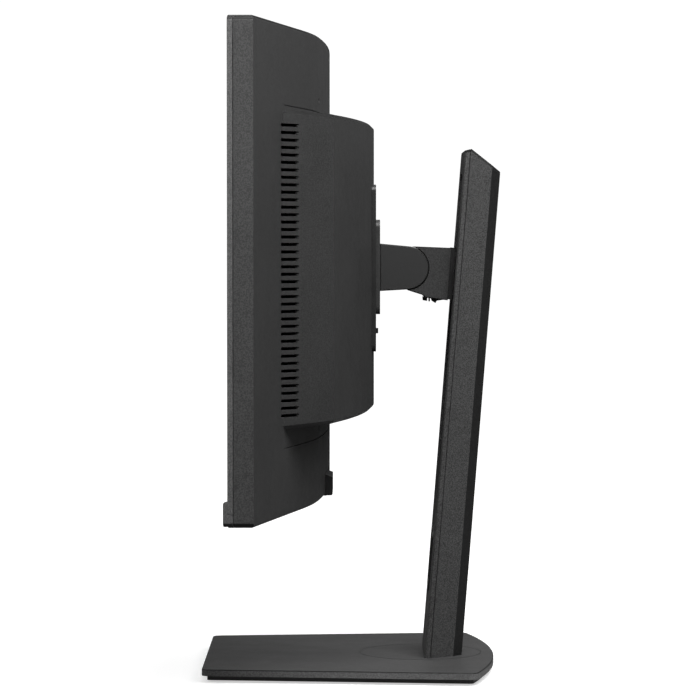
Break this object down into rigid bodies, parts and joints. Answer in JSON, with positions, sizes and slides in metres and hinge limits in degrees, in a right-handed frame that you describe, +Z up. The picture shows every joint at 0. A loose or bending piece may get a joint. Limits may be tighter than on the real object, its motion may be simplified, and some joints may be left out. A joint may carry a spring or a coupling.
{
  "type": "computer monitor",
  "caption": "Curved ultrawide desktop monitor on a stand with height, tilt and swivel adjustment, a flat base, and a rear box with side vents.",
  "frame": {"origin": "on the desk, under the middle of the whole object's bounding box", "axes": "+Z up, the screen faces -Y, +X towards the user's right"},
  "size_m": [0.808, 0.2442, 0.5146],
  "materials": {
    "grained_plastic": "fine-grained dark grey moulded plastic",
    "black_plastic": "smooth black plastic",
    "screen_glass": "anti-glare panel face",
    "diffuser_film": "milky film",
    "light_guide_plastic": "clear acrylic",
    "sheet_steel": "galvanised sheet",
    "painted_steel": "black powder coat",
    "cast_aluminium": "die-cast",
    "painted_aluminium": "painted die-casting",
    "circuit_board": "solder mask",
    "spring_steel": "bright spring steel",
    "slide_plastic": "natural acetal",
    "foot_rubber": "soft black rubber"
  },
  "bodies": {
    "base": {"base_cover": "grained_plastic", "base_plate": "painted_steel", "base_screws": "spring_steel", "base_feet": "foot_rubber", "swivel_washer": "slide_plastic"},
    "swivel": {"column_front": "grained_plastic", "column_back": "grained_plastic", "cable_grommet": "black_plastic", "column_rail": "sheet_steel", "column_foot": "sheet_steel", "column_bolts": "spring_steel", "spring_rolls": "spring_steel", "spring_strips": "spring_steel", "spool_axle": "spring_steel", "swivel_disc": "painted_steel", "swivel_retainer": "sheet_steel", "thumb_screw": "spring_steel"},
    "carriage": {"carriage_bracket": "sheet_steel", "slide_shoes": "slide_plastic", "carriage_cover": "grained_plastic", "neck_collar": "black_plastic", "cable_clip": "black_plastic"},
    "display": {"lcd_panel": "screen_glass", "optical_films": "diffuser_film", "led_bar": "cast_aluminium", "light_guide": "light_guide_plastic", "reflector_sheet": "diffuser_film", "panel_chassis": "sheet_steel", "front_frame": "grained_plastic", "bottom_bezel": "grained_plastic", "rear_cover": "grained_plastic", "box_cover": "grained_plastic", "mount_pad": "black_plastic", "display_screws": "painted_steel", "control_pod": "black_plastic", "control_board": "circuit_board", "board_bracket": "sheet_steel", "vesa_bracket": "sheet_steel", "main_board": "circuit_board", "heat_sink": "cast_aluminium", "power_board": "circuit_board", "power_inlet": "black_plastic", "audio_jack": "black_plastic", "video_and_usb_sockets": "sheet_steel", "usb_host_socket": "sheet_steel", "speakers": "black_plastic", "timing_board": "circuit_board", "panel_ribbon": "diffuser_film", "release_plate": "painted_steel", "arm_shell": "painted_aluminium", "tilt_shaft": "sheet_steel", "friction_washers": "spring_steel", "tilt_spring": "spring_steel", "release_spring": "spring_steel"},
    "release_button": {"release_button": "black_plastic"},
    "menu_key_1": {"menu_key_1": "black_plastic"},
    "menu_key_2": {"menu_key_2": "black_plastic"},
    "menu_key_3": {"menu_key_3": "black_plastic"},
    "menu_key_4": {"menu_key_4": "black_plastic"},
    "power_key": {"power_key": "black_plastic"}
  },
  "joints": [
    {"name": "swivel", "type": "hinge", "parent": "base", "child": "swivel", "pos_m": [0, 0.0565, 0.0106], "axis": [0, 0, 1], "range_deg": [-45, 45]},
    {"name": "height", "type": "slide", "parent": "swivel", "child": "carriage", "axis": [0, 0.0785, 0.9969], "range_m": [-0.105, 0.045], "deforming": ["spring_strips"]},
    {"name": "tilt", "type": "hinge", "parent": "carriage", "child": "display", "pos_m": [0, 0.04466, 0.3329], "axis": [-1, 0, 0], "range_deg": [-5, 22]},
    {"name": "release_press", "type": "slide", "parent": "display", "child": "release_button", "axis": [0, 0, 1], "range_m": [0, 0.0025], "stiffness_N_per_m": 900, "springref_m": -0.001, "deforming": ["release_spring"]},
    {"name": "menu_key_1_press", "type": "slide", "parent": "display", "child": "menu_key_1", "axis": [0, 0, 1], "range_m": [0, 0.0006], "stiffness_N_per_m": 2500, "springref_m": -0.0001},
    {"name": "menu_key_2_press", "type": "slide", "parent": "display", "child": "menu_key_2", "axis": [0, 0, 1], "range_m": [0, 0.0006], "stiffness_N_per_m": 2500, "springref_m": -0.0001},
    {"name": "menu_key_3_press", "type": "slide", "parent": "display", "child": "menu_key_3", "axis": [0, 0, 1], "range_m": [0, 0.0006], "stiffness_N_per_m": 2500, "springref_m": -0.0001},
    {"name": "menu_key_4_press", "type": "slide", "parent": "display", "child": "menu_key_4", "axis": [0, 0, 1], "range_m": [0, 0.0006], "stiffness_N_per_m": 2500, "springref_m": -0.0001},
    {"name": "power_key_press", "type": "slide", "parent": "display", "child": "power_key", "axis": [0, 0, 1], "range_m": [0, 0.0006], "stiffness_N_per_m": 2500, "springref_m": -0.0001}
  ]
}
